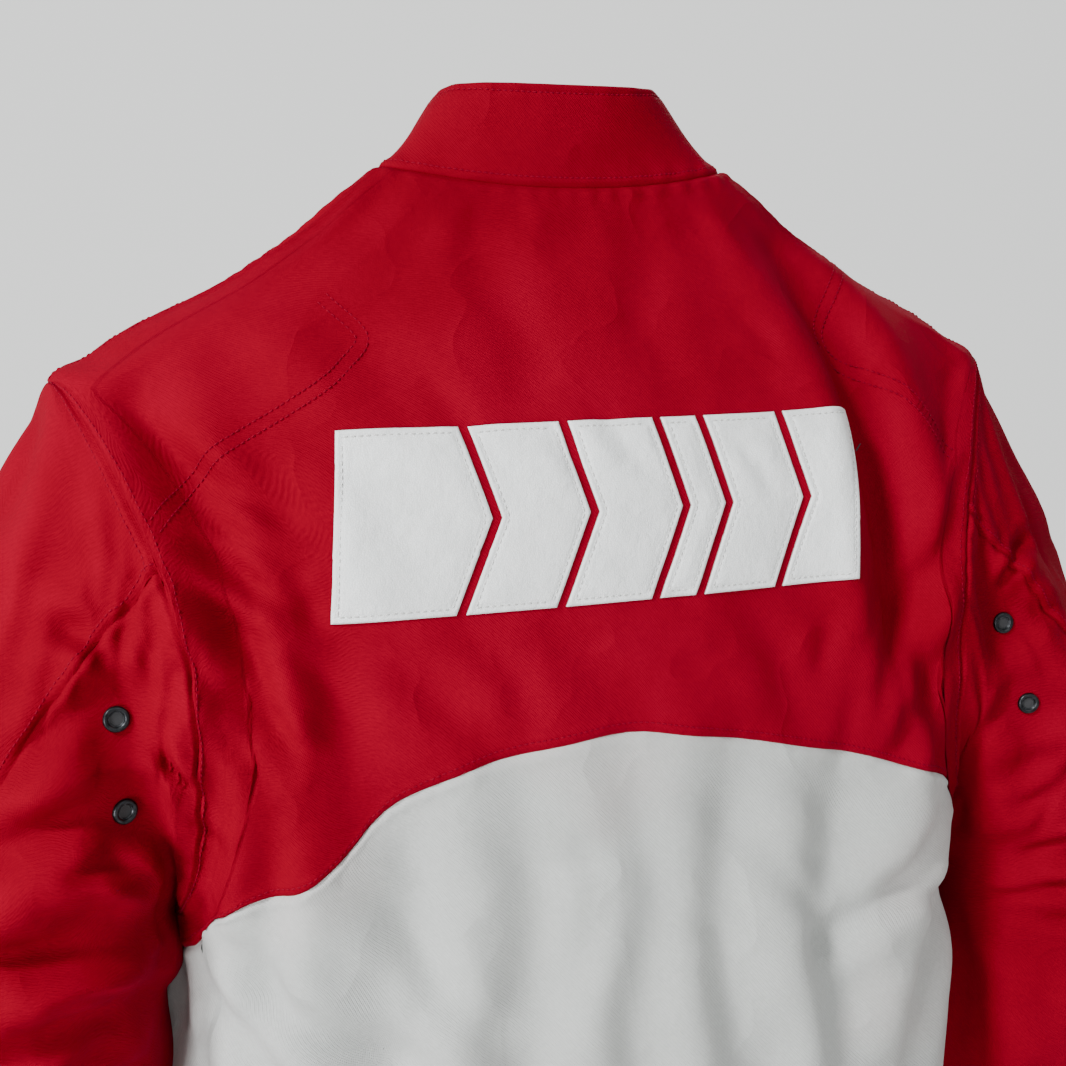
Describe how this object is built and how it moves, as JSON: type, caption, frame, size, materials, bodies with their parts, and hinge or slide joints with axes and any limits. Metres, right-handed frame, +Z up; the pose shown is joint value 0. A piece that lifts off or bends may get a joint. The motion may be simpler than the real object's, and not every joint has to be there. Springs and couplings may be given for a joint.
{
  "type": "riding jacket",
  "caption": "Motorcycle riding jacket hung by its neck: panelled textile shell with leather back pieces, lining, pads, zips, and sleeves that swing and bend.",
  "frame": {"origin": "middle of the neck, level with the neck ends of the two shoulder seams", "axes": "+Z up, the front of the jacket faces -Y, the wearer's left is +X"},
  "size_m": [0.7576, 0.2172, 0.7371],
  "materials": {
    "red_shell": "red canvas twill, matt",
    "white_shell": "off-white canvas twill, matt",
    "leather_badge": "white grained leather, stitched 3 mm inside its cut edge",
    "lining": "black polyester lining",
    "foam": "closed-cell foam in a cloth pocket",
    "zip_tape": "woven black tape",
    "zip_teeth": "matt grey metal teeth",
    "hardware": "gunmetal black lacquered metal",
    "webbing": "black woven strap"
  },
  "bodies": {
    "torso": {"back_yoke": "red_shell", "back_lower_panel": "white_shell", "back_lining": "lining", "back_pad": "foam", "left_front_upper": "red_shell", "left_front_lower": "white_shell", "left_front_lining": "lining", "right_front_upper": "red_shell", "right_front_lower": "white_shell", "right_front_lining": "lining", "collar": "red_shell", "collar_lining": "red_shell", "locker_loop": "webbing", "back_badge_1": "leather_badge", "back_badge_2": "leather_badge", "back_badge_3": "leather_badge", "back_badge_4": "leather_badge", "back_badge_5": "leather_badge", "back_badge_6": "leather_badge", "left_zip_tape": "zip_tape", "left_zip_teeth": "zip_teeth", "right_zip_tape": "zip_tape", "right_zip_teeth": "zip_teeth", "zip_retainer_box": "hardware", "left_pocket_zip": "zip_tape", "right_pocket_zip": "zip_tape"},
    "main_slider": {"zip_slider": "hardware"},
    "main_pull": {"zip_pull": "hardware"},
    "left_sleeve": {"left_sleeve_outer_upper": "red_shell", "left_sleeve_under_upper": "red_shell", "left_upper_sleeve_lining": "lining", "left_shoulder_pad": "foam", "left_vent_eyelet_upper": "hardware", "left_vent_eyelet_lower": "hardware"},
    "left_forearm": {"left_sleeve_outer_forearm": "red_shell", "left_sleeve_under_forearm": "red_shell", "left_forearm_lining": "lining", "left_elbow_pad": "foam", "left_cuff": "red_shell", "left_cuff_zip": "zip_tape"},
    "left_cuff_runner": {"left_cuff_slider": "hardware"},
    "left_pocket_runner": {"left_pocket_slider": "hardware"},
    "right_sleeve": {"right_sleeve_outer_upper": "red_shell", "right_sleeve_under_upper": "red_shell", "right_upper_sleeve_lining": "lining", "right_shoulder_pad": "foam", "right_vent_eyelet_upper": "hardware", "right_vent_eyelet_lower": "hardware"},
    "right_forearm": {"right_sleeve_outer_forearm": "red_shell", "right_sleeve_under_forearm": "red_shell", "right_forearm_lining": "lining", "right_elbow_pad": "foam", "right_cuff": "red_shell", "right_cuff_zip": "zip_tape"},
    "right_cuff_runner": {"right_cuff_slider": "hardware"},
    "right_pocket_runner": {"right_pocket_slider": "hardware"}
  },
  "joints": [
    {"name": "main_zip_slide", "type": "slide", "parent": "torso", "child": "main_slider", "axis": [0, -0.0343, -0.9994], "range_m": [0, 0.585]},
    {"name": "zip_pull_hinge", "type": "hinge", "parent": "main_slider", "child": "main_pull", "pos_m": [0, -0.08861, -0.0439], "axis": [-1, 0, 0], "range_deg": [0, 150]},
    {"name": "left_shoulder", "type": "hinge", "parent": "torso", "child": "left_sleeve", "pos_m": [0.264, 0.01, -0.104], "axis": [0, -1, 0], "range_deg": [0, 40]},
    {"name": "left_elbow", "type": "hinge", "parent": "left_sleeve", "child": "left_forearm", "pos_m": [0.308, -0.062, -0.501], "axis": [-0.9882, 0, -0.1531], "range_deg": [0, 70]},
    {"name": "left_pocket_slide", "type": "slide", "parent": "torso", "child": "left_pocket_runner", "axis": [0.1472, 0.0029, -0.9891], "range_m": [0, 0.13]},
    {"name": "left_cuff_slide", "type": "slide", "parent": "left_forearm", "child": "left_cuff_runner", "axis": [-0.2426, 0.2557, 0.9358], "range_m": [0, 0.064]},
    {"name": "right_shoulder", "type": "hinge", "parent": "torso", "child": "right_sleeve", "pos_m": [-0.264, 0.01, -0.104], "axis": [0, 1, 0], "range_deg": [0, 40]},
    {"name": "right_elbow", "type": "hinge", "parent": "right_sleeve", "child": "right_forearm", "pos_m": [-0.308, -0.062, -0.501], "axis": [-0.9882, 0, 0.1531], "range_deg": [0, 70]},
    {"name": "right_pocket_slide", "type": "slide", "parent": "torso", "child": "right_pocket_runner", "axis": [-0.1472, 0.0029, -0.9891], "range_m": [0, 0.13]},
    {"name": "right_cuff_slide", "type": "slide", "parent": "right_forearm", "child": "right_cuff_runner", "axis": [0.2426, 0.2557, 0.9358], "range_m": [0, 0.064]}
  ]
}
